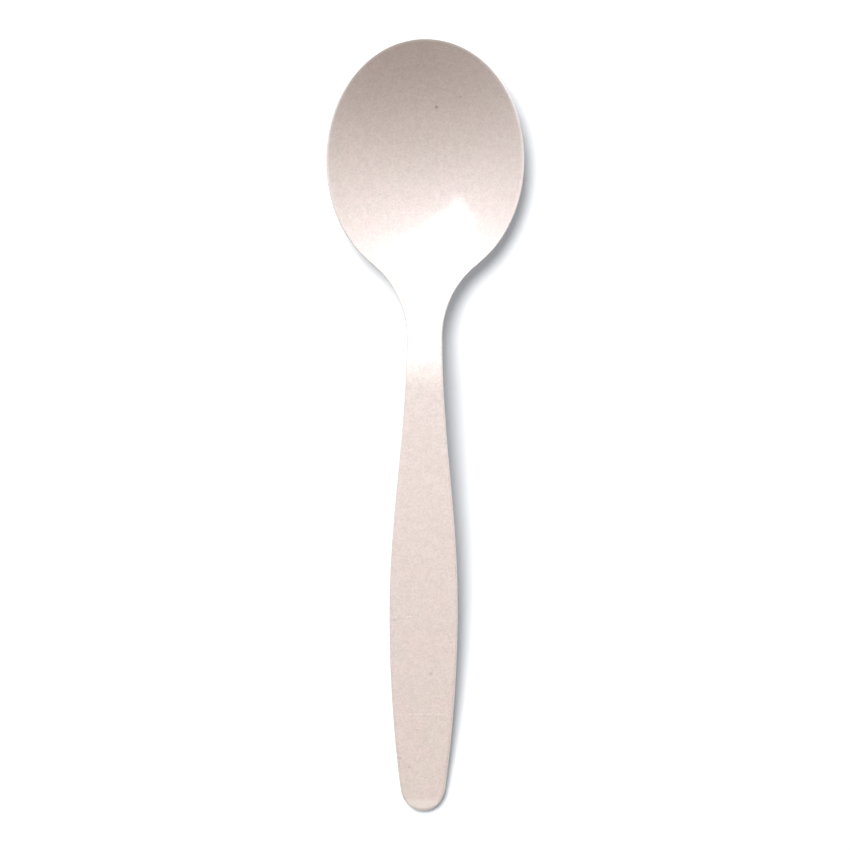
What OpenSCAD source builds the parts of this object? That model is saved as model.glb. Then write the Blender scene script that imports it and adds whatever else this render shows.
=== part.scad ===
// Moulded plastic soup spoon, lying on a table with its bowl up.
// The bowl's tip points along +Y and the end of the handle along -Y. The table is at Z = 0.
// A station is a distance along the spoon, measured from the bowl's tip.

/* [Whole spoon] */
// Length from the bowl's tip to the end of the handle
overall_length = 146; // [138:1:154]
// Radius that softens every outer edge
edge_radius = 0.5; // [0.3:0.05:0.55]

/* [Bowl] */
// Width across the rim
bowl_width = 37.4; // [34:0.2:41]
// Length of the ellipse that the rim follows
bowl_length = 46; // [43:0.5:49]
// Depth inside, from the rim straight down to the floor
bowl_depth = 8.2; // [6.5:0.1:9.5]
// How much the bowl leans back, as the height that the lean adds at the tip
tip_rise = 5.2; // [3:0.1:6]
// Station where the lean has run out
lean_to = 50; // [46:0.5:54]
// Thickness of the bowl's wall, square to its surface
bowl_wall = 1.25; // [1.1:0.05:1.6]
// How much the round underside is cut flat, so that the bowl stands still
foot_cut = 0.3; // [0.15:0.05:0.45]

/* [Neck] */
// Width at the narrowest point
neck_width = 6.7; // [5.6:0.1:8]
// Station of the narrowest point
neck_at = 56.2; // [54:0.2:59]
// Station where the bowl's hollow has run out into the neck
hollow_to = 64; // [59:0.5:64]
// Station where the rim starts to sweep up towards the neck
sweep_from = 30; // [26:0.5:34]
// Station of the handle's highest point, where the sweep ends
crest_at = 66; // [64:0.5:69]
// Height of that point above a rim without lean and sweep
crest_rise = 6.5; // [4.5:0.1:7.2]

/* [Handle] */
// Width at the widest point
handle_width = 12.9; // [11.5:0.1:14.5]
// Station of the widest point
widest_at = 108; // [102:1:114]
// Thickness of the top plate
plate_thickness = 1.5; // [1.2:0.1:1.8]
// Full depth of the handle, from its top to the lower edge of its side walls
handle_depth = 2.9; // [2.3:0.1:3.6]

/* [Side walls] */
// Thickness of a side wall at its lower edge
side_wall = 1.25; // [1:0.05:1.5]
// How much thicker a wall is at its root, so that it leaves the mould
draft = 0.3; // [0.1:0.05:0.4]

/* [Handle end] */
// Width that the sides taper to
end_width = 7.3; // [6:0.1:9]
// Length of the elliptical curve that closes the end
end_curve = 4.3; // [3:0.1:5]
// Length of the solid stretch in front of that curve
end_solid = 1.6; // [1.2:0.1:3]
// Downward slope of the top at the end, in degrees
end_slope = 13; // [10:0.5:15]
// How much the underside of the end is cut flat, so that the handle stands still
end_cut = 0.4; // [0.2:0.05:0.5]

/* [Spine rib] */
// Width where the rib joins the plate
rib_width = 1.6; // [1.2:0.1:2]
// Width of its lower edge
rib_edge = 1.1; // [0.8:0.05:1.2]
// Depth below the plate, next to the neck
rib_depth = 1.2; // [0.7:0.1:1.6]
// Depth that it has run down to where it ends
rib_last_depth = 0.3; // [0.2:0.05:0.5]
// Station where the rib ends
rib_to = 112; // [90:1:130]

/* [Hidden] */
plastic = [0.89, 0.85, 0.82];

// Where one stretch of the spoon gives way to the next, as a share of the way between two stations
bowl_end_share = 0.15;
neck_end_share = 0.05;
// Where the bowl's wall starts to thicken towards the neck, between the middle and the end of the bowl
thicken_share = 0.5;
// The wall's thickness follows the slope of the bowl's floor up to this share of the bowl's mid length
steep_share = 0.7;
// An edge takes up no more than this share of the thickness that it softens
soft_share = 0.35;
// Powers of the curves: 2 is an ellipse, and more is fuller
tip_power = 2.04;
end_power = 2.2;
// Power that moves the steepest part of the sweep from its middle towards the crest
sweep_power = 1.5;

bowl_mid = bowl_length / 2;
bowl_end = mix(bowl_length, neck_at, bowl_end_share);
neck_end = mix(crest_at, widest_at, neck_end_share);
hollow_end = overall_length - end_curve - end_solid;
curve_start = overall_length - end_curve;
thicken_at = mix(bowl_mid, bowl_length, thicken_share);
// Power with which the hollow runs out. It makes the floor's curve along the spoon the same behind the
// middle of the bowl as in front of it.
runout_power = pow((hollow_to - bowl_mid) / bowl_mid, 2);

// Steps in which the lowest place of the bowl's underside is looked for
search_steps = 50;
// Half of the step over which the outline's growth is measured
probe = 0.05;

// Heights above the table. The rim's is that without lean and sweep, and it is such that the lowest
// place of the round underside is below the table by the cut of the foot.
rim_height = -foot_cut - min([for (s = spread(0, bowl_end, search_steps))
    lean(s) + sweep(s) - bowl_depth * dish(s) - shell(0, s)]);
crest_height = rim_height + crest_rise;
end_height = handle_depth - end_cut;

function mix(a, b, u) = a + (b - a) * u;
function within(u) = max(0, min(1, u));
function ease(u) = let (v = within(u)) v * v * (3 - 2 * v);
function ramp(s, from, to) = ease((s - from) / (to - from));

// Width that a rounded end leaves, as a share, at a distance from its widest place
function fullness(u, power) = pow(1 - pow(within(abs(u)), power), 1 / power);

// Outline seen from above. The rim is an ellipse, a little fuller towards its tip, and an arc that is
// tangent to it leads into the neck.
// The angle is measured on the ellipse, from its widest point towards the neck.
function rim_x(angle) = bowl_width / 2 * cos(angle);
function rim_s(angle) = bowl_mid + bowl_mid * sin(angle);
function rim_normal(angle) =
    let (n = [cos(angle) * bowl_mid, sin(angle) * bowl_width / 2]) n / norm(n);
function arc_radius(angle) = (rim_x(angle) - neck_width / 2) / (1 - rim_normal(angle)[0]);
function arc_centre(angle) = rim_s(angle) + rim_normal(angle)[1] * arc_radius(angle);
function tangent_angle(low, high, steps) =
    let (angle = (low + high) / 2)
    steps == 0 ? angle :
    arc_centre(angle) > neck_at ? tangent_angle(angle, high, steps - 1) :
    tangent_angle(low, angle, steps - 1);

neck_angle = tangent_angle(20, 85, 30);
neck_radius = arc_radius(neck_angle);
neck_start = rim_s(neck_angle);

function rim_half(s) =
    bowl_width / 2 * fullness((s - bowl_mid) / bowl_mid, s < bowl_mid ? tip_power : 2);
function neck_half(s) =
    neck_width / 2 + neck_radius - sqrt(pow(neck_radius, 2) - pow(neck_at - s, 2));
function flare_half(s) =
    let (turn = 180 * (s - neck_at) / (widest_at - neck_at))
    mix(neck_width, handle_width, (1 - cos(turn)) / 2) / 2;
function taper_half(s) =
    mix(handle_width, end_width, pow((s - widest_at) / (overall_length - widest_at), 2)) / 2;
function side_half(s) =
    s < neck_start ? rim_half(s) :
    s < neck_at ? neck_half(s) :
    s < widest_at ? flare_half(s) : taper_half(s);
// Share of the width that the curve at the handle's end leaves
function closing(s) = s < curve_start ? 1 : fullness((s - curve_start) / end_curve, end_power);
function half_width(s) = side_half(s) * closing(s);

// Distance of a point from the outline, true close to it
function edge_distance(x, s) =
    let (growth = (pow(half_width(s + probe), 2) - pow(half_width(s - probe), 2)) / (4 * probe))
    (pow(half_width(s), 2) - x * x) / (2 * max(probe, norm([x, growth])));
// Height that an edge loses where it is rounded
function rounding(distance, radius) =
    let (inset = radius * (1 - within(distance / radius)))
    radius - sqrt(radius * radius - inset * inset);

// Height of the spoon's edge. The bowl leans back with its tip up, the rim sweeps up to the crest behind
// the neck, and the handle falls away from there in one long curve.
function lean(s) = tip_rise * pow(within(1 - s / lean_to), 2);
function lean_slope(s) = -2 * tip_rise / lean_to * within(1 - s / lean_to);
function sweep(s) =
    crest_rise * ease(pow(within((s - sweep_from) / (crest_at - sweep_from)), sweep_power));
function handle_fall(s) =
    let (span = overall_length - crest_at, u = within((s - crest_at) / span))
    mix(crest_height, end_height, ease(u)) + tan(end_slope) * span * u * u * (1 - u);
function edge_height(s) = s > crest_at ? handle_fall(s) : rim_height + lean(s) + sweep(s);

// The bowl's hollow: its depth along the spoon, and a parabola across
function dish(s) =
    s < bowl_mid ? 1 - pow((s - bowl_mid) / bowl_mid, 2) :
    pow(1 - pow(within((s - bowl_mid) / (hollow_to - bowl_mid)), 2), runout_power);
function across(x, s) = let (half = half_width(s)) half > 0 ? 1 - pow(x / half, 2) : 0;
function face_height(x, s) = edge_height(s) - bowl_depth * dish(s) * across(x, s);

// Upright thickness. A sloping wall takes more of it than a flat one.
function floor_slope(x, s) =
    let (reach = steep_share * bowl_mid, along = max(-reach, min(reach, s - bowl_mid)))
    norm([2 * bowl_depth * x / pow(bowl_width / 2, 2),
          2 * bowl_depth * along / pow(bowl_mid, 2) + lean_slope(s)]);
function shell(x, s) = bowl_wall * norm([1, floor_slope(x, s)]);
function full_depth(x, s) = mix(shell(x, s), handle_depth, ramp(s, thicken_at, neck_end));
function plate_underside(s) = edge_height(s) - plate_thickness;

function top_height(x, s) = face_height(x, s) - rounding(edge_distance(x, s), edge_radius);
function under_height(x, s, depth) =
    let (softening = rounding(edge_distance(x, s), min(edge_radius, depth * soft_share)))
    max(0, face_height(x, s) - depth + softening);

// Places across the spoon from its middle to its edge, close together where the edge is rounded
function places(half) =
    let (soft = min(edge_radius, half * soft_share), inner = half - soft)
    concat([for (a = [0 : 10 : 90]) inner * sin(a)], [for (a = [30 : 30 : 90]) inner + soft * sin(a)]);
function both_sides(places) = concat([for (i = [len(places) - 1 : -1 : 1]) -places[i]], places);

// One row across the spoon, as [x, upper height, lower height]
function solid_row(s) =
    let (xs = half_width(s) < probe ? [0] : both_sides(places(half_width(s))))
    [for (x = xs) [x, top_height(x, s), under_height(x, s, full_depth(x, s))]];
function plate_row(s) =
    [for (x = both_sides(places(half_width(s)))) [x, top_height(x, s), plate_underside(s)]];

function spread(from, to, steps) = [for (i = [0 : steps]) mix(from, to, i / steps)];
function along(s) = overall_length / 2 - s;
function quad(a, b, c, d) = [[a, b, c], [a, c, d]];

// A solid between upper and lower points. A row of one point closes the solid at that end.
module slab(stations, rows) {
    last = len(rows) - 1;
    count = max([for (row = rows) len(row)]);
    low = (last - 1) * count + len(rows[0]) + len(rows[last]);
    function at(i, k) = (i == 0 ? 0 : len(rows[0]) + (i - 1) * count) + min(k, len(rows[i]) - 1);
    function level(column) = [for (i = [0 : last], p = rows[i]) [p[0], along(stations[i]), p[column]]];
    polyhedron(points = concat(level(1), level(2)), faces = [
        for (i = [0 : last - 1], k = [0 : count - 2])
            let (a = at(i, k), b = at(i, k + 1), c = at(i + 1, k + 1), d = at(i + 1, k))
            each concat(
                a == b ? [] : [[a, b, c], [low + a, low + c, low + b]],
                c == d ? [] : [[a, c, d], [low + a, low + d, low + c]]),
        for (i = [0 : last - 1])
            let (a = at(i, 0), b = at(i + 1, 0), c = at(i, count), d = at(i + 1, count))
            each concat(quad(a, b, low + b, low + a), quad(c, low + c, low + d, d)),
        for (k = [0 : count - 2])
            let (a = at(0, k), b = at(0, k + 1), c = at(last, k), d = at(last, k + 1))
            each concat(
                a == b ? [] : quad(a, low + a, low + b, b),
                c == d ? [] : quad(c, d, low + d, low + c))
    ]);
}

// A solid through convex rings of [x, height], each listed clockwise as seen from the bowl's tip
module loft(stations, rings) {
    last = len(rings) - 1;
    count = len(rings[0]);
    points = [for (i = [0 : last], p = rings[i]) [p[0], along(stations[i]), p[1]]];
    polyhedron(points = points, faces = [
        for (i = [0 : last - 1], k = [0 : count - 1])
            let (a = i * count + k, b = i * count + (k + 1) % count)
            each quad(a, a + count, b + count, b),
        for (k = [1 : count - 2])
            each [[0, k, k + 1], [last * count, last * count + k + 1, last * count + k]]
    ]);
}

// Stations close together where the outline or the hollow turns quickly
bowl_stations = concat(
    [for (a = [0 : 7.5 : 90]) bowl_mid * (1 - cos(a))],
    [for (a = [7.5 : 7.5 : 67.5]) mix(bowl_mid, bowl_end, sin(a) / sin(67.5))]);
neck_stations = spread(bowl_end, neck_end, 9);
handle_stations = spread(neck_end, hollow_end, 24);
end_stations = concat([hollow_end], [for (a = [0 : 10 : 90]) curve_start + end_curve * sin(a)]);

module bowl() {
    color(plastic) slab(bowl_stations, [for (s = bowl_stations) solid_row(s)]);
}

module neck() {
    color(plastic) slab(neck_stations, [for (s = neck_stations) solid_row(s)]);
}

module handle_plate() {
    color(plastic) slab(handle_stations, [for (s = handle_stations) plate_row(s)]);
}

// Ring of the wall at +X, with its outer lower edge rounded
function wall_ring(s) =
    let (half = half_width(s), root = plate_underside(s), foot = edge_height(s) - handle_depth,
         soft = min(edge_radius, side_wall * soft_share, (root - foot) * soft_share))
    concat([[half, root], [half - side_wall - draft, root], [half - side_wall, foot]],
           [for (a = [90 : -30 : 0]) [half - soft + soft * cos(a), foot + soft - soft * sin(a)]]);

module side_walls() {
    for (side = [0, 1])
        color(plastic) mirror([side, 0, 0])
            loft(handle_stations, [for (s = handle_stations) wall_ring(s)]);
}

// Ring of the rib, which runs down from the neck to its end
rib_stations = spread(neck_end, rib_to, 14);
function rib_ring(s) =
    let (root = plate_underside(s),
         foot = root - mix(rib_depth, rib_last_depth, ramp(s, neck_end, rib_to)))
    [[rib_width / 2, root], [-rib_width / 2, root], [-rib_edge / 2, foot], [rib_edge / 2, foot]];

module spine_rib() {
    color(plastic) loft(rib_stations, [for (s = rib_stations) rib_ring(s)]);
}

module handle_end() {
    color(plastic) slab(end_stations, [for (s = end_stations) solid_row(s)]);
}

bowl();
neck();
handle_plate();
side_walls();
spine_rib();
handle_end();
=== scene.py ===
# %% [markdown]
# # A moulded plastic soup spoon
# This lesson dresses a soup spoon that was shot in one mould from pale champagne plastic. A fixed
# frame holds its construction, cut into stretches that meet face to face. The real spoon shows no
# seam between them, so one continuous skin is modelled here over the whole frame, and it keeps the
# frame's sizes.

# %% The frame and its box
import math

import bmesh
import bpy
from mathutils import Matrix, Vector


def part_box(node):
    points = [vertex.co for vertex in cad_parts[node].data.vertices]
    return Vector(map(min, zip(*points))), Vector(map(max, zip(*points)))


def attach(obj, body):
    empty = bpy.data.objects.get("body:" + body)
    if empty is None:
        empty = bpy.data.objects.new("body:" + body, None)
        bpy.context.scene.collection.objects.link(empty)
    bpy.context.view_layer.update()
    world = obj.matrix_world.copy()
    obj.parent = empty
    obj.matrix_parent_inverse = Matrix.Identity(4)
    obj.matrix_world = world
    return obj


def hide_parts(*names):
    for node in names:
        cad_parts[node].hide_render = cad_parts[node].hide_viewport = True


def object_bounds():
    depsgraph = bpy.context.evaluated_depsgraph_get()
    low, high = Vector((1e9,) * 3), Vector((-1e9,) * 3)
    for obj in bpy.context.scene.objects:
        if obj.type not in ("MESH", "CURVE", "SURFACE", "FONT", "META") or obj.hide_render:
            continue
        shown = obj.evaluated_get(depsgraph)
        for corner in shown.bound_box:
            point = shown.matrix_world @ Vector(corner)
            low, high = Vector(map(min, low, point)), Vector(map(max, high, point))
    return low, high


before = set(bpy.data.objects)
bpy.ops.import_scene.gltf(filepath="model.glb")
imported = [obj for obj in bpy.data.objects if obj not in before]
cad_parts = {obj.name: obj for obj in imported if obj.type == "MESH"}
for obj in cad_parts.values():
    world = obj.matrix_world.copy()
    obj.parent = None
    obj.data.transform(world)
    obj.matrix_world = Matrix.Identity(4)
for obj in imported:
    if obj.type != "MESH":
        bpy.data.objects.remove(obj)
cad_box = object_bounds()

print("frame:", [round(v, 4) for corner in cad_box for v in corner])

# %% [markdown]
# Lengths that the frame can tell are read from it. The others repeat the values that the
# construction was drawn with. Everything is worked out in millimetres, as a spoon is drawn, and
# becomes metres only where a point is placed. A station is a distance along the spoon, measured
# from the tip of the bowl.

# %% Sizes of the spoon, in millimetres
MM = 0.001
TIP_Y = cad_box[1].y / MM
LENGTH = (cad_box[1].y - cad_box[0].y) / MM
BOWL_WIDTH = 2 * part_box("bowl")[1].x / MM
BOWL_END = TIP_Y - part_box("bowl")[0].y / MM
NECK_END = TIP_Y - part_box("neck")[0].y / MM
HOLLOW_END = TIP_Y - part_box("handle_plate")[0].y / MM
HANDLE_WIDTH = 2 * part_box("handle_plate")[1].x / MM
RIB_END = TIP_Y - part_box("spine_rib")[0].y / MM
RIB_WIDTH = 2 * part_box("spine_rib")[1].x / MM
CREST_HEIGHT = cad_box[1].z / MM

BOWL_LENGTH = 46
BOWL_MID = BOWL_LENGTH / 2
BOWL_DEPTH = 8.2
BOWL_WALL = 1.25
TIP_POWER = 2.04
TIP_RISE = 5.2
LEAN_TO = 50
HOLLOW_TO = 64
RUNOUT_POWER = ((HOLLOW_TO - BOWL_MID) / BOWL_MID) ** 2
NECK_WIDTH = 6.7
NECK_AT = 56.2
SWEEP_FROM = 30
SWEEP_POWER = 1.5
CREST_AT = 66
CREST_RISE = 6.5
RIM_HEIGHT = CREST_HEIGHT - CREST_RISE
WIDEST_AT = 108
END_WIDTH = 7.3
END_CURVE = 4.3
END_POWER = 2.2
END_SLOPE = math.radians(13)
END_HEIGHT = 2.5
CURVE_START = LENGTH - END_CURVE
PLATE = 1.5
HANDLE_DEPTH = 2.9
SIDE_WALL = 1.25
DRAFT = 0.3
RIB_EDGE = 1.1
RIB_DEPTH = 1.2
RIB_LAST_DEPTH = 0.3
THICKEN_AT = (BOWL_MID + BOWL_LENGTH) / 2
STEEP_SHARE = 0.7
print(f"length {LENGTH:.2f}, bowl {BOWL_WIDTH:.2f} wide")
print(f"handle {HANDLE_WIDTH:.2f} wide, crest {CREST_HEIGHT:.2f} high")


# %% [markdown]
# The outline comes first, as on a drawing board. Seen from above, the rim is an ellipse that is a
# little fuller towards its tip. One arc, tangent to the ellipse, leads into the narrowest place of
# the neck. From there the handle widens along a cosine and draws in again along a parabola.

# %% The outline
def mix(a, b, share):
    return a + (b - a) * share


def within(value):
    return max(0.0, min(1.0, value))


def ramp(value, start, end):
    """0 at start, 1 at end, and level at both."""
    share = within((value - start) / (end - start))
    return share * share * (3 - 2 * share)


def fullness(share, power):
    """Half the width of a rounded outline at a share of its length. Power 2 gives an ellipse."""
    return (1 - within(abs(share)) ** power) ** (1 / power)


def neck_arc():
    """Radius of the arc into the neck, and the station where it leaves the rim. The place on the
    rim, as an angle, is found by halving the range that it can lie in."""
    halvings = 30
    low, high = math.radians(20), math.radians(85)
    for _ in range(halvings):
        angle = (low + high) / 2
        across, along = math.cos(angle), math.sin(angle)
        normal = Vector((across * BOWL_MID, along * BOWL_WIDTH / 2)).normalized()
        radius = (BOWL_WIDTH / 2 * across - NECK_WIDTH / 2) / (1 - normal.x)
        start = BOWL_MID + BOWL_MID * along
        if start + normal.y * radius > NECK_AT:
            low = angle
        else:
            high = angle
    return radius, start


NECK_RADIUS, NECK_START = neck_arc()


def side_half(s):
    """Half the width at a station, before the curve that closes the handle's end."""
    if s < BOWL_MID:
        return BOWL_WIDTH / 2 * fullness((s - BOWL_MID) / BOWL_MID, TIP_POWER)
    if s < NECK_START:
        return BOWL_WIDTH / 2 * fullness((s - BOWL_MID) / BOWL_MID, 2)
    if s < NECK_AT:
        return NECK_WIDTH / 2 + NECK_RADIUS - math.sqrt(NECK_RADIUS**2 - (NECK_AT - s) ** 2)
    if s < WIDEST_AT:
        turn = math.pi * (s - NECK_AT) / (WIDEST_AT - NECK_AT)
        return mix(NECK_WIDTH, HANDLE_WIDTH, (1 - math.cos(turn)) / 2) / 2
    return mix(HANDLE_WIDTH, END_WIDTH, ((s - WIDEST_AT) / (LENGTH - WIDEST_AT)) ** 2) / 2


print(f"arc into the neck: radius {NECK_RADIUS:.1f}, from station {NECK_START:.1f}")


# %% [markdown]
# Seen from the side, the bowl leans back with its tip up, as any spoon does once it lies on its
# belly and on the end of its handle. The rim sweeps up to the crest behind the neck, and the handle
# falls from there to the table. The hollow is a parabola along the spoon and across it. It runs out
# softly along the neck, which is why the neck is still a little dished.

# %% The heights
def edge_height(s):
    """Height of the rim, or of the handle's upper face, at a station."""
    if s > CREST_AT:
        span = LENGTH - CREST_AT
        share = within((s - CREST_AT) / span)
        fall = math.tan(END_SLOPE) * span * share**2 * (1 - share)
        return mix(CREST_HEIGHT, END_HEIGHT, ramp(s, CREST_AT, LENGTH)) + fall
    lean = TIP_RISE * within(1 - s / LEAN_TO) ** 2
    share = within((s - SWEEP_FROM) / (CREST_AT - SWEEP_FROM)) ** SWEEP_POWER
    return RIM_HEIGHT + lean + CREST_RISE * ramp(share, 0, 1)


def dish(s):
    """Depth of the hollow along the middle line, as a share of the bowl's depth."""
    if s < BOWL_MID:
        return 1 - ((s - BOWL_MID) / BOWL_MID) ** 2
    return (1 - within((s - BOWL_MID) / (HOLLOW_TO - BOWL_MID)) ** 2) ** RUNOUT_POWER


def face_height(x, s):
    half = side_half(s)
    across = max(0.0, 1 - (x / half) ** 2) if half > 0 else 0.0
    return edge_height(s) - BOWL_DEPTH * dish(s) * across


def full_depth(x, s):
    """Upright thickness. A sloping wall takes more of it than a flat one."""
    reach = STEEP_SHARE * BOWL_MID
    dished = 2 * BOWL_DEPTH * max(-reach, min(reach, s - BOWL_MID)) / BOWL_MID**2
    leaning = -2 * TIP_RISE / LEAN_TO * within(1 - s / LEAN_TO)
    sideways = 2 * BOWL_DEPTH * x / (BOWL_WIDTH / 2) ** 2
    shell = BOWL_WALL * math.hypot(1, sideways, dished + leaning)
    return mix(shell, HANDLE_DEPTH, ramp(s, THICKEN_AT, NECK_END))


def underside(x, s):
    return max(0.0, face_height(x, s) - full_depth(x, s))


print(f"floor of the bowl {face_height(0, BOWL_MID):.2f} high")
print(f"end of the handle {edge_height(LENGTH):.2f} high")


# %% [markdown]
# The skin starts as one flat grid, because a grid has a clean row for every station and a clean
# column for every line that runs along the spoon. The rows lie closer together where the shape
# turns faster. One column lies close inside the edge all round, and holds the surface when the edge
# is rounded later.

# %% Rows and columns of the grid
def steps(start, end, count):
    return [mix(start, end, i / count) for i in range(count)]


HALF_COLUMNS = 8
HOLD = 0.8
TIP_STEPS = 12
TIP_HOLD = HOLD / BOWL_MID - 1
TIP_ROWS = [-1, TIP_HOLD] + [TIP_HOLD * (1 - i / TIP_STEPS) for i in range(1, TIP_STEPS)]
SPAN_ROWS = (
    steps(BOWL_MID, BOWL_END, 14)
    + steps(BOWL_END, NECK_END, 14)
    + steps(NECK_END, HOLLOW_END, 30)
    + [HOLLOW_END, CURVE_START]
)
END_ROWS = [0.27, 0.54, 1 - HOLD / END_CURVE, 1]
ROWS = (
    [("tip", t) for t in TIP_ROWS]
    + [("span", s) for s in SPAN_ROWS]
    + [("end", t) for t in END_ROWS]
)
HOLLOW_FIRST = ROWS.index(("span", NECK_END))
HOLLOW_LAST = ROWS.index(("span", HOLLOW_END))
WALL_COLUMN = HALF_COLUMNS - 2


def column_place(column, s):
    """Distance of a column from the middle of the spoon. In the handle, column 1 runs beside the
    rib and the wall's column along the inside of the wall."""
    half = side_half(s)
    hold = half - HOLD
    even = hold * column / (HALF_COLUMNS - 1)
    wall = half - SIDE_WALL
    if column == 0:
        return 0.0
    if column == HALF_COLUMNS:
        return half
    if column == HALF_COLUMNS - 1:
        return hold
    built = mix(RIB_WIDTH / 2, wall, (column - 1) / (WALL_COLUMN - 1))
    return mix(even, built, ramp(s, BOWL_END, NECK_END))


print(f"{len(ROWS)} rows of {2 * HALF_COLUMNS + 1} points")

# %% [markdown]
# A grid has corners and a spoon has none, so the first rows are bent into the round tip and the
# last ones into the round end, as a square is pulled into a disc. The edge itself is set out a few
# hundredths of a millimetre, because smoothing will draw it in again, and the two points beside
# each corner at the tip move halfway to the next ones, so that no corner shows.

# %% The places of the points
HOLD_OUT = 0.9


def pulled_round(u, t, power):
    """A point of a square, pulled onto a rounded disc of that power."""
    x, y = u * math.sqrt(1 - t * t / 2), t * math.sqrt(1 - u * u / 2)
    reach = math.hypot(x, y)
    if reach == 0:
        return 0.0, 0.0
    scale = (abs(x / reach) ** power + abs(y / reach) ** power) ** (-1 / power)
    return x * scale, y * scale


def column_share(column, s):
    return column_place(column, s) / side_half(s)


def sheet_place(column, row):
    """Where a point of the grid belongs, as (distance from the middle line, station)."""
    kind, value = ROWS[row]
    side = math.copysign(1, column)
    column = abs(column)
    if kind == "span":
        return side * column_place(column, value), value
    if kind == "tip":
        u = column_share(column, BOWL_MID)
        if (column, row) == (HALF_COLUMNS - 1, 0):
            u = (1 + column_share(column - 1, BOWL_MID)) / 2
        if (column, row) == (HALF_COLUMNS, 1):
            value = (TIP_ROWS[0] + TIP_ROWS[2]) / 2
        x, y = pulled_round(u, value, TIP_POWER)
        return side * x * side_half(BOWL_MID), BOWL_MID + y * BOWL_MID
    x, y = pulled_round(column_share(column, CURVE_START), value, END_POWER)
    s = CURVE_START + y * END_CURVE
    return side * x * side_half(s), s


def on_edge(column, row):
    across, along = abs(column) - HALF_COLUMNS, row * (row - len(ROWS) + 1)
    return max(across, along) == 0


def grid_place(column, row):
    """The same for the coarse cage. Smoothing leaves a point of the edge at four sixths of its own
    place and one sixth of each of the two beside it, so these points start out further off by
    almost as much as they will be drawn in."""
    place = Vector(sheet_place(column, row))
    if not on_edge(column, row):
        return place
    beside = ((column + 1, row), (column, row + 1), (column - 1, row), (column, row - 1))
    one, other = (Vector(sheet_place(*point)) for point in beside if on_edge(*point))
    drawn = (one + other - 2 * place) / 6
    return place - HOLD_OUT * (drawn - drawn.project(other - one))


tip_point = grid_place(0, 0)
print(f"the tip's point starts out {-tip_point.y:.3f} mm past the tip")

# %% [markdown]
# Each point of the grid remembers its row and column in two attributes. Extruding copies them, so
# the underside, the hollow and the rib still know where they belong after they have been pulled out
# of the sheet. A third attribute says which layer a point is on.

# %% Tools that work by row, column and layer
TOP, UNDER, CEILING, RIB_FOOT = 0, 1, 2, 3
MEMORY = ("column", "row", "layer")


def deselect_all():
    if bpy.context.object and bpy.context.object.mode != "OBJECT":
        bpy.ops.object.mode_set(mode="OBJECT")
    bpy.ops.object.select_all(action="DESELECT")


def place_points(mesh, layer, where):
    """Sets the place of each point of a layer. where(column, row) gives it in millimetres."""
    work = bmesh.from_edit_mesh(mesh)
    column, row, level = (work.verts.layers.int[name] for name in MEMORY)
    for vert in work.verts:
        if vert[level] == layer:
            x, s, height = where(vert[column], vert[row])
            vert.co = Vector((x, TIP_Y - s, height)) * MM
    bmesh.update_edit_mesh(mesh)


def extrude_to(mesh, layer, where):
    """Extrudes the selected faces, calls the new points by their layer and places them."""
    bpy.ops.mesh.extrude_region_move()
    work = bmesh.from_edit_mesh(mesh)
    level = work.verts.layers.int["layer"]
    for vert in work.verts:
        if vert.select:
            vert[level] = layer
    bmesh.update_edit_mesh(mesh)
    place_points(mesh, layer, where)


def select_faces(mesh, layer, columns, first_row, last_row):
    """Selects the faces of a layer inside columns -columns to columns, between two rows."""
    work = bmesh.from_edit_mesh(mesh)
    column, row, level = (work.verts.layers.int[name] for name in MEMORY)
    for face in work.faces:
        face.select_set(all(
            v[level] == layer and abs(v[column]) <= columns and first_row <= v[row] <= last_row
            for v in face.verts
        ))
    bmesh.update_edit_mesh(mesh)
    return sum(face.select for face in work.faces)


deselect_all()
print("each point will remember its", ", ".join(MEMORY))

# %% [markdown]
# The upper face is the one that a spoon is judged by, so it is laid first. A plain grid is added,
# its points are told their row and column by where they lie in it, and each is then moved to its
# place on the rim, in the hollow or on the handle.

# %% Laying the sheet
bpy.ops.mesh.primitive_grid_add(
    x_subdivisions=2 * HALF_COLUMNS,
    y_subdivisions=len(ROWS) - 1,
    size=LENGTH * MM,
    location=(0, 0, 0),
)
spoon = bpy.context.object
spoon.name = spoon.data.name = "soup_spoon"
for name in MEMORY:
    spoon.data.attributes.new(name, "INT", "POINT")
for vert, column, row in zip(
    spoon.data.vertices, spoon.data.attributes["column"].data, spoon.data.attributes["row"].data
):
    column.value = round(vert.co.x / (LENGTH * MM) * 2 * HALF_COLUMNS)
    row.value = round((0.5 - vert.co.y / (LENGTH * MM)) * (len(ROWS) - 1))


def top_place(column, row):
    x, s = grid_place(column, row)
    return x, s, face_height(x, s)


bpy.ops.object.mode_set(mode="EDIT")
place_points(spoon.data, TOP, top_place)
print(f"sheet of {len(spoon.data.vertices)} points")


# %% [markdown]
# The plastic's thickness comes from extruding the whole sheet. The copy is then set down to the
# underside, which follows the bowl's wall and, along the neck, thickens to the full depth of the
# handle. Where the round bowl would reach below the table it is cut flat, and so the spoon stands
# still.

# %% The underside
def under_place(column, row):
    x, s = grid_place(column, row)
    return x, s, underside(x, s)


bpy.ops.mesh.select_all(action="SELECT")
extrude_to(spoon.data, UNDER, under_place)
print(f"closed shell of {len(spoon.data.vertices)} points")


# %% [markdown]
# A plastic handle is hollow underneath, so that it cools evenly and stays straight. The faces
# between the two side walls are extruded up to the top plate. The ceiling is a little narrower than
# the mouth of the hollow, because a moulded wall has to slant to leave its mould. A low rib comes
# back down from it.

# %% The hollow and its rib
def row_distance(row, s):
    """How far a row lies from a station. The rows of the tip and the end never come close."""
    kind, value = ROWS[row]
    return abs(value - s) if kind == "span" else LENGTH


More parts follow.
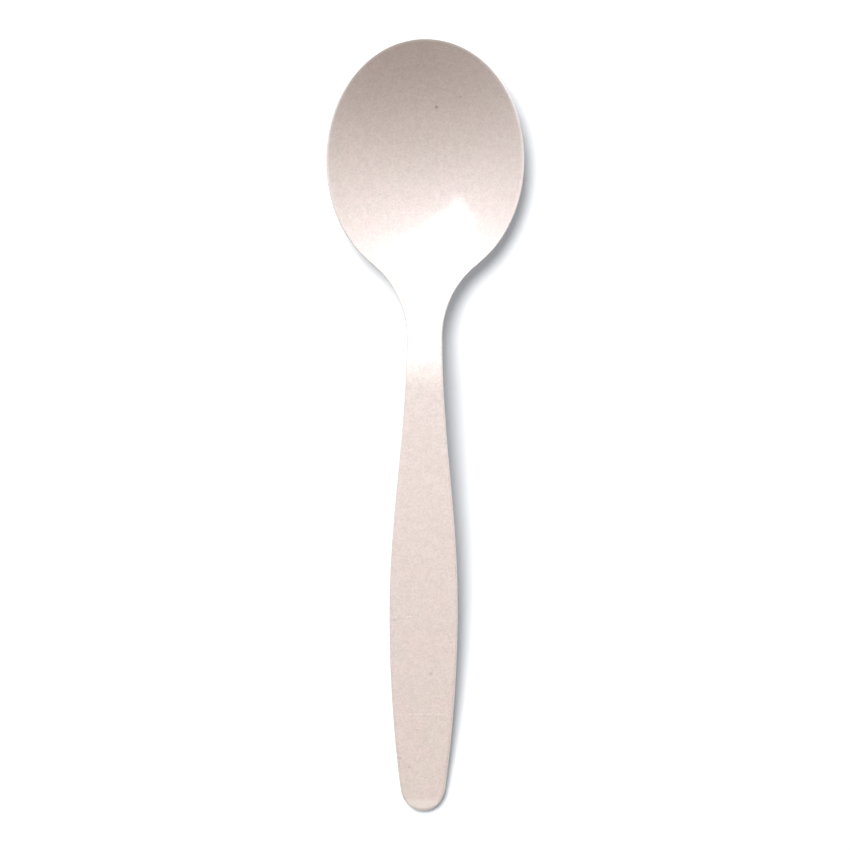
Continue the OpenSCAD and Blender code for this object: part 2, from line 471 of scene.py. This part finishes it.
def ceiling_place(column, row):
    s = ROWS[row][1]
    widest = side_half(s) - SIDE_WALL - DRAFT
    share = (abs(column) - 1) / (WALL_COLUMN - 1)
    x = 0.0 if column == 0 else math.copysign(mix(RIB_WIDTH / 2, widest, share), column)
    inset = DRAFT * ((row == HOLLOW_FIRST) - (row == HOLLOW_LAST))
    return x, s + inset, edge_height(s) - PLATE


def rib_place(column, row):
    s = ROWS[row][1]
    depth = mix(RIB_DEPTH, RIB_LAST_DEPTH, ramp(s, NECK_END, RIB_END))
    return column * RIB_EDGE / 2, s, edge_height(s) - PLATE - depth


RIB_LAST = min(range(len(ROWS)), key=lambda row: row_distance(row, RIB_END))
hollow_faces = select_faces(spoon.data, UNDER, WALL_COLUMN, HOLLOW_FIRST, HOLLOW_LAST)
extrude_to(spoon.data, CEILING, ceiling_place)
rib_faces = select_faces(spoon.data, CEILING, 1, HOLLOW_FIRST + 1, RIB_LAST)
extrude_to(spoon.data, RIB_FOOT, rib_place)
print(f"hollow over {hollow_faces} faces, rib over {rib_faces}")

# %% [markdown]
# No moulded edge is sharp. Every edge where one kind of face meets another gets a bevel weight: a
# full one round the outside, where lips and fingers touch, and a smaller one in the hollow, where
# only the mould's cutter left its radius. Upright edges of the outer wall are left alone, because
# the wall runs round the end without a corner. One Bevel modifier then rounds all the weighted
# edges, and one Subdivision Surface modifier turns the coarse cage into the smooth plastic.

# %% Rounding the edges
EDGE_RADIUS = 0.45
HOLLOW_RADIUS_SHARE = 0.45
SHARP = math.radians(50)
BEVEL_STEPS = 3
SMOOTHINGS = 2

bpy.ops.mesh.select_all(action="SELECT")
bpy.ops.mesh.normals_make_consistent(inside=False)
work = bmesh.from_edit_mesh(spoon.data)
level = work.verts.layers.int["layer"]
weight = work.edges.layers.float.new("bevel_weight_edge")


def layers_of(element):
    return {vert[level] for vert in element.verts}


rounded = 0
for edge in work.edges:
    if layers_of(edge) == {TOP, UNDER}:
        continue
    one, other = (layers_of(face) for face in edge.link_faces)
    if one != other or edge.calc_face_angle() > SHARP:
        outside = {TOP, UNDER} in (one, other)
        edge[weight] = 1.0 if outside else HOLLOW_RADIUS_SHARE
        rounded += 1
bmesh.update_edit_mesh(spoon.data)
bpy.ops.object.mode_set(mode="OBJECT")


def add_modifier(obj, kind, **settings):
    modifier = obj.modifiers.new(kind.title(), kind)
    for name, value in settings.items():
        setattr(modifier, name, value)
    bpy.ops.object.modifier_apply(modifier=modifier.name)


add_modifier(
    spoon,
    "BEVEL",
    width=EDGE_RADIUS * MM,
    segments=BEVEL_STEPS,
    limit_method="WEIGHT",
    use_clamp_overlap=False,
)
add_modifier(spoon, "SUBSURF", levels=SMOOTHINGS, render_levels=SMOOTHINGS)
for name in MEMORY:
    spoon.data.attributes.remove(spoon.data.attributes[name])
bpy.ops.object.shade_smooth()
print(f"{rounded} edges rounded, {len(spoon.data.polygons)} faces")


# %% [markdown]
# Shader maths reads best as plain arithmetic. A small class wraps a socket, so that adding or
# scaling a value adds the Math node for it.

# %% Arithmetic on the surface
class Value:
    """A number that changes over the surface, with Python's arithmetic."""

    def __init__(self, bench, socket):
        self.bench, self.socket = bench, socket

    def maths(self, operation, *others, first=None):
        values = [self if first is None else first, *others]
        return self.bench.add("ShaderNodeMath", {"operation": operation}, dict(enumerate(values)))

    def __add__(self, other):
        return self.maths("ADD", other)

    __radd__ = __add__

    def __sub__(self, other):
        return self.maths("SUBTRACT", other)

    def __rsub__(self, other):
        return self.maths("SUBTRACT", self, first=other)

    def __mul__(self, other):
        return self.maths("MULTIPLY", other)

    __rmul__ = __mul__

    def __abs__(self):
        return self.maths("ABSOLUTE")

    def or_more(self, other):
        return self.maths("MAXIMUM", other)

    def above(self, start, end):
        """0 on the far side of start, 1 on the far side of end, and smooth between."""
        sockets = {"Value": self, "From Min": start, "From Max": end}
        return self.bench.add("ShaderNodeMapRange", {"interpolation_type": "SMOOTHSTEP"}, sockets)


print("operators: +, -, * and abs")


# %% [markdown]
# A material is put together as at a workbench. The bench holds one material or world, one of its
# methods makes every node, and the few kinds that come up again and again have a short name each.

# %% A bench for materials
class Bench:
    """A new material or world, and the nodes on it."""

    def __init__(self, owner):
        self.owner = owner
        owner.use_nodes = True
        self.tree = owner.node_tree
        self.tree.nodes.clear()

    def add(self, kind, settings=None, sockets=None, output=0):
        node = self.tree.nodes.new(kind)
        for name, value in (settings or {}).items():
            setattr(node, name, value)
        for name, value in (sockets or {}).items():
            socket = node.inputs[name]
            if isinstance(value, Value):
                self.tree.links.new(value.socket, socket)
            else:
                socket.default_value = value
        if not node.outputs:
            return None
        return Value(self, node.outputs[output])

    def place(self):
        return self.add("ShaderNodeTexCoord", output="Object")

    def measure(self, axis):
        """How far along X, Y or Z a point of the surface lies, in metres."""
        return self.add("ShaderNodeSeparateXYZ", sockets={"Vector": self.place()}, output=axis)

    def noise(self, grain, detail=2.0):
        """Cloudy noise whose clouds are about one grain across, in millimetres."""
        sockets = {"Vector": self.place(), "Scale": 1 / (grain * MM), "Detail": detail}
        return self.add("ShaderNodeTexNoise", sockets=sockets)

    def ray(self, kind):
        """1 for light that is seen in this way, Camera or Glossy, and 0 for all other light."""
        return self.add("ShaderNodeLightPath", output=f"Is {kind} Ray")

    def blend(self, factor, one, other):
        mixed = {"data_type": "RGBA", "clamp_factor": True}
        return self.add("ShaderNodeMix", mixed, {"Factor": factor, 6: one, 7: other}, output=2)

    def finish(self, shader, output="ShaderNodeOutputMaterial"):
        self.add(output, sockets={"Surface": shader})
        return self.owner


def srgb(red, green, blue, alpha=1.0):
    """A colour as a paint chart gives it, from 0 to 255, turned into the light that the shader
    works with. The numbers are those of the curve that all screens use."""
    def linear(value):
        share = value / 255
        return share / 12.92 if share <= 0.04045 else ((share + 0.055) / 1.055) ** 2.4

    return linear(red), linear(green), linear(blue), alpha


plastic = Bench(bpy.data.materials.new("moulded_plastic"))
print("bench for", plastic.owner.name)

# %% [markdown]
# The plastic is a pale champagne. Close up it isn't one flat colour: the pigment lies in faint
# clouds, some pinker and some closer to ivory, and the fine grain of the mould's face runs all over
# it. Noise makes both, at the size of the real clouds and grains.

# %% The plastic's colour
PINK = srgb(236, 218, 210)
IVORY = srgb(233, 220, 209)
DEEP = srgb(221, 204, 195)
CLOUD = 5.0
BLOTCH = 1.3
GRAIN = 0.38
GRAIN_SHARE = 0.7
CLOUD_EDGE = (0.35, 0.65)
GRAIN_EDGE = (0.68, 0.32)

clouds = plastic.noise(CLOUD, detail=3.0)
grain = plastic.noise(GRAIN)
blotches = plastic.noise(BLOTCH, detail=1.0)
pigment = plastic.blend(clouds.above(*CLOUD_EDGE), PINK, IVORY)
depth = (grain * GRAIN_SHARE + blotches * (1 - GRAIN_SHARE)).above(*GRAIN_EDGE)
colour = plastic.blend(depth, pigment, DEEP)
print("pigment:", len(plastic.tree.nodes), "nodes")

# %% [markdown]
# Marks tell that the thing is real. Burnt pigment leaves a few dark specks, each in its own place
# and so given by its distance across, its station, its radius and how dark it is. Much finer dust
# is strewn by a Voronoi texture, one grain to a cell and only in the few cells that a high
# threshold lets through. A speck is a small ball in the plastic, so that it shows in the upper face
# and nowhere else.

# %% Specks and dust
SPECK = srgb(128, 110, 103)
SPECKS = (
    (2.1, 12.6, 0.5, 0.5),
    (6.6, 10.7, 0.35, 0.3),
    (1.5, 119.8, 0.4, 0.22),
    (-4.3, 135.9, 0.45, 0.25),
    (-2.6, 137.6, 0.45, 0.2),
)
MARK_CORE = 0.3
DUST_CELL = 2.6
DUST_EDGE = (0.09, 0.03)
DUST_LUCK = (0.68, 0.76)
DUST_DARKNESS = 0.35


def speck(across, station, radius, darkness):
    """A dark spot in the upper face, at its full strength within its core."""
    centre = (across * MM, (TIP_Y - station) * MM, face_height(across, station) * MM)
    ends = {0: plastic.place(), 1: centre}
    reach = plastic.add("ShaderNodeVectorMath", {"operation": "DISTANCE"}, ends, output="Value")
    return reach.above(radius * MM, radius * MM * MARK_CORE) * darkness


dust_cells = {"Vector": plastic.place(), "Scale": 1 / (DUST_CELL * MM)}
dust_reach = plastic.add("ShaderNodeTexVoronoi", sockets=dust_cells, output="Distance")
dust_luck = plastic.add("ShaderNodeTexVoronoi", sockets=dust_cells, output="Color")
specks = dust_reach.above(*DUST_EDGE) * dust_luck.above(*DUST_LUCK) * DUST_DARKNESS
for place in SPECKS:
    specks = specks.or_more(speck(*place))
speckled = plastic.blend(specks, colour, SPECK)
print(f"{len(SPECKS)} specks")

# %% [markdown]
# Hairlines run across the handle, where the ejected spoon slid over its neighbours. Each is given
# by its station, its two ends and its width. It lies on the upper face alone, and noise breaks it
# up, because a scratch skips.

# %% Hairlines
SCRATCH = srgb(246, 238, 231)
SCRATCH_PALENESS = 0.6
HAIRLINES = ((127.5, -5.4, 5.3, 0.14), (125.9, 0.2, 3.8, 0.1), (109.0, -5.5, -2.0, 0.1))
LINE_CORE = 0.8
BREAK = 1.1
BREAK_EDGE = (0.4, 0.55)


def hairline(station, left, right, width):
    """A pale scratch across the handle's upper face, fading towards both of its ends."""
    face, reach = edge_height(station) * MM, (right - left) / 2 * MM
    off_line = abs(plastic.measure("Y") - (TIP_Y - station) * MM)
    off_middle = abs(plastic.measure("X") - (left + right) / 2 * MM)
    on_line = off_line.above(width * MM, width * MM * MARK_CORE)
    in_reach = off_middle.above(reach, reach * LINE_CORE)
    on_top = plastic.measure("Z").above(face - EDGE_RADIUS * MM, face - EDGE_RADIUS * MM / 2)
    return on_line * in_reach * on_top * breaks


breaks = plastic.noise(BREAK).above(*BREAK_EDGE)
lines = hairline(*HAIRLINES[0])
for place in HAIRLINES[1:]:
    lines = lines.or_more(hairline(*place))
marked = plastic.blend(lines * SCRATCH_PALENESS, speckled, SCRATCH)
print(f"{len(HAIRLINES)} hairlines")

# %% [markdown]
# Two places are painted paler, and both are painted highlights: the rounded lip of the bowl, where
# its edge catches the light, and the rounded end of the handle, which catches it too. The lip is
# found by its height, because it lies just under the rim, and the rim rises towards the tip with
# the square of the distance.

# %% The painted highlights on the lip and the end
# Painted highlight: the colour that the rounded lip of the bowl is painted with.
RIM_HIGHLIGHT_COLOUR = srgb(252, 243, 236)
LIP_DROP = 0.5
LIP_CORE = 0.6
RIM_HIGHLIGHT_STRENGTH = 0.45
LIP_FADE = 6
# Painted highlight: the colour and place of the paler end of the handle, for light on its round.
END_HIGHLIGHT_COLOUR = srgb(244, 234, 225)
END_HIGHLIGHT_FROM = 143.4
END_HIGHLIGHT_FADE = 0.9
END_HIGHLIGHT_STRENGTH = 0.6

along, height = plastic.measure("Y"), plastic.measure("Z")
# The mask of the painted highlight on the handle's end.
painted_end_highlight = along.above((TIP_Y - END_HIGHLIGHT_FROM) * MM, (TIP_Y - END_HIGHLIGHT_FROM - END_HIGHLIGHT_FADE) * MM)
sweep_y = TIP_Y - SWEEP_FROM
in_bowl = along.above((sweep_y - LIP_FADE) * MM, (sweep_y + LIP_FADE) * MM)
lean = (along - (TIP_Y - LEAN_TO) * MM) * (1 / (LEAN_TO * MM))
below_rim = RIM_HEIGHT * MM + lean * lean * (TIP_RISE * MM) - height
# The mask of the painted highlight along the lip, just under the rim.
painted_rim_highlight = below_rim.above(LIP_DROP * MM, LIP_DROP * MM * LIP_CORE) * in_bowl
# The painted highlight of the end goes into the plastic's colour here.
body = plastic.blend(painted_end_highlight * END_HIGHLIGHT_STRENGTH, marked, END_HIGHLIGHT_COLOUR)
# The painted highlight of the lip goes into the plastic's colour here.
body = plastic.blend(painted_rim_highlight * RIM_HIGHLIGHT_STRENGTH, body, RIM_HIGHLIGHT_COLOUR)
print("colour:", len(plastic.tree.nodes), "nodes")

# %% [markdown]
# The surface has two sheens. The plastic body scatters light softly, and over it lies the thin
# glassy skin that forms against the mould, with a clear but soft-edged reflection. The grain lifts
# the body by a hair, and each speck is a shallow pit.

# %% The plastic's sheen
BODY_ROUGHNESS = 0.42
GRAIN_ROUGHNESS = 0.1
SKIN_ROUGHNESS = 0.15
SKIN_LOSS = 0.6
PLASTIC_IOR = 1.5
GRAIN_LIFT = 0.04
GRAIN_STRENGTH = 0.15

height_map = {
    "Strength": GRAIN_STRENGTH,
    "Distance": GRAIN_LIFT * MM,
    "Height": grain - specks,
}
skin_sockets = {
    "Base Color": body,
    "Roughness": BODY_ROUGHNESS + grain * GRAIN_ROUGHNESS,
    "IOR": PLASTIC_IOR,
    "Coat Weight": 1 - specks.or_more(lines) * SKIN_LOSS,
    "Coat Roughness": SKIN_ROUGHNESS,
    "Coat IOR": PLASTIC_IOR,
    "Normal": plastic.add("ShaderNodeBump", sockets=height_map),
}
skin = plastic.add("ShaderNodeBsdfPrincipled", sockets=skin_sockets)
spoon.data.materials.clear()
spoon.data.materials.append(plastic.finish(skin))
print("plastic:", len(plastic.tree.nodes), "nodes")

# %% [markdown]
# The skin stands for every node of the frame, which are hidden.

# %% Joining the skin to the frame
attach(spoon, "root")
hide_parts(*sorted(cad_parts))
print("the skin stands for:", ", ".join(sorted(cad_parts)))

# %% [markdown]
# The spoon lies on a white sheet that fills the picture. A little of the sheet's light reaches only
# the camera and reflections, so the paper is as white as in a lit studio, and it still takes the
# spoon's shadow. The room round it is dim, and in the spoon's gloss it is a little paler than it
# lights.

# %% The white sheet and the backdrop
SHEET_SIZE = 4.0
SHEET_DROP = 0.02
SHEET_LIFT = 0.21
PAPER = srgb(239, 239, 241)
PAPER_GLOW = (0.76, 0.91, 1, 1)
ROOM_TINT = (1, 0.93, 0.92, 1)
ROOM_LIGHT = 0.07
ROOM_GLEAM = 0.1
WHITE = (1, 1, 1, 1)

deselect_all()
bpy.ops.mesh.primitive_plane_add(size=SHEET_SIZE, location=(0, 0, -SHEET_DROP * MM))
sheet = bpy.context.object
sheet.name = "white_sheet"
paper = Bench(bpy.data.materials.new("white_paper"))
lift = (paper.ray("Camera") + paper.ray("Glossy")) * SHEET_LIFT
matt = paper.add("ShaderNodeBsdfDiffuse", sockets={"Color": PAPER})
glow = paper.add("ShaderNodeEmission", sockets={"Color": PAPER_GLOW, "Strength": lift})
sheet.data.materials.append(paper.finish(paper.add("ShaderNodeAddShader", {}, {0: matt, 1: glow})))

room = Bench(bpy.data.worlds.new("studio"))
strength = ROOM_LIGHT + room.ray("Glossy") * ROOM_GLEAM
walls = room.add("ShaderNodeBackground", sockets={"Color": ROOM_TINT, "Strength": strength})
white = room.add("ShaderNodeBackground", sockets={"Color": WHITE, "Strength": 1.0})
view = room.add("ShaderNodeMixShader", sockets={"Fac": room.ray("Camera"), 1: walls, 2: white})
bpy.context.scene.world = room.finish(view, "ShaderNodeOutputWorld")
print("stage set:", sheet.name, "in", bpy.context.scene.world.name)


# %% [markdown]
# A panel of light is placed as a photographer thinks of it: in which direction it stands from the
# spoon, and which part of the view that way it fills. Light linking then says what it lights.

# %% A panel of light
SPOON_PLACE = Vector((4 * MM, 35 * MM, 6 * MM))
FAR = 1.2


def towards(zenith, azimuth):
    """A direction from the spoon. The azimuth turns from +Y towards -X."""
    level = math.sin(zenith)
    return Vector((-math.sin(azimuth) * level, math.cos(azimuth) * level, math.cos(zenith)))


def softbox(name, turns, window, radiance, distance=FAR, place=SPOON_PLACE):
    """A panel of light, square to a direction. Its turns (zenith, azimuth, roll) are in degrees,
    and its window (left, right, low, high) is seen from the place, as shares of the distance."""
    zenith, azimuth, roll = (math.radians(turn) for turn in turns)
    way = towards(zenith, azimuth)
    level = Vector((math.cos(azimuth), math.sin(azimuth), 0))
    right = level * math.cos(roll) + level.cross(way) * math.sin(roll)
    up = right.cross(way)
    left, far, low, high = window
    data = bpy.data.lights.new(name, "AREA")
    data.shape = "RECTANGLE"
    data.size, data.size_y = (far - left) * distance, (high - low) * distance
    data.energy = radiance * math.pi * data.size * data.size_y
    lamp = bpy.data.objects.new(name, data)
    lamp.location = place + (way + right * (left + far) / 2 + up * (low + high) / 2) * distance
    lamp.rotation_euler = Matrix((right, -up, way)).transposed().to_euler()
    bpy.context.scene.collection.objects.link(lamp)
    return lamp


def lit_only(lamp, thing):
    group = bpy.data.collections.new(lamp.name + "_lights")
    group.objects.link(thing)
    lamp.light_linking.receiver_collection = group


print("towards the bowl's tip, level:", [round(v, 2) for v in towards(math.pi / 2, 0)])

# %% [markdown]
# Two panels of light stand beyond the bowl's tip, one above the other. They give the spoon its long
# gradient, from the shaded slope under the tip to the pale slope before the neck, and the lower one
# is mirrored there as a white patch. A small warm panel hangs over the end of the handle, where the
# keys no longer reach, and a weak card on each side fills the walls. These three light without a
# reflection of their own, as light through thick cloth does.

# %% The lights of the spoon
HANDLE_PLACE = Vector((0, -138 * MM, 6 * MM))
NEAR = 0.19
SQUARE = (-0.5, 0.5, -0.5, 0.5)
CARD = (-0.5, 0.5, -0.3, 0.3)
COOL = (0.85, 0.91, 0.985)
WARM = (0.96, 0.875, 0.805)

upper = softbox("upper_key", (48, 13.4, -13.6), (-0.71, 0.8, -0.15, 0.32), 5.25)
lower = softbox("lower_key", (68, 4, -4), (-0.82, 0.8, -0.21, 0.27), 5.3)
overhead = softbox("overhead", (0, 0, 0), SQUARE, 1.8, distance=NEAR, place=HANDLE_PLACE)
right_card = softbox("right_card", (60, -90, 0), CARD, 0.95)
left_card = softbox("left_card", (60, 90, 0), CARD, 0.45)
upper.data.color = lower.data.color = COOL
overhead.data.color = WARM
for lamp in (upper, lower, overhead, right_card, left_card):
    lit_only(lamp, spoon)
    print(f"{lamp.name}: {lamp.data.energy:.2f} W")
for lamp in (overhead, right_card, left_card):
    lamp.visible_glossy = False

# %% [markdown]
# The sheet has a lamp to itself, high on the left, so that the shadow is short and falls to the
# lower right. Light linking keeps it off the spoon, and keeps the low panels from casting a second,
# long shadow.

# %% The lamp of the sheet
LAMP_SPREAD = math.radians(20)
LAMP_STRENGTH = 3.06
LAMP_ZENITH = math.radians(16)
LAMP_AZIMUTH = math.radians(37)

lamp_data = bpy.data.lights.new("sheet_lamp", "SUN")
lamp_data.angle, lamp_data.energy = LAMP_SPREAD, LAMP_STRENGTH
sheet_lamp = bpy.data.objects.new("sheet_lamp", lamp_data)
lamp_way = towards(LAMP_ZENITH, LAMP_AZIMUTH)
sheet_lamp.rotation_euler = lamp_way.to_track_quat("Z", "Y").to_euler()
bpy.context.scene.collection.objects.link(sheet_lamp)
lit_only(sheet_lamp, sheet)
print("the sheet's light comes from", [round(v, 2) for v in lamp_way])

# %% [markdown]
# The camera looks straight down through a long lens, so that the spoon is drawn almost without
# perspective. It is turned a hair, as the spoon lies a fifth of a degree askew in its picture.

# %% The camera
LENS = 300
SENSOR = 36
FRAME_WIDTH = 160.75
FRAME_LEVEL = 6
SHIFT = Vector((0.15, 0.17))
ROLL = math.radians(0.22)

camera_data = bpy.data.cameras.new("camera")
camera_data.lens, camera_data.sensor_width = LENS, SENSOR
camera_data.clip_start, camera_data.clip_end = 0.01, 10
camera = bpy.data.objects.new("camera", camera_data)
camera_height = FRAME_WIDTH * LENS / SENSOR + FRAME_LEVEL
camera.location = (SHIFT.x * MM, SHIFT.y * MM, camera_height * MM)
camera.rotation_euler = (0, 0, ROLL)
bpy.context.scene.collection.objects.link(camera)
bpy.context.scene.camera = camera
bpy.context.scene.view_settings.view_transform = "Standard"
print(f"camera {camera_height:.0f} mm above the table")
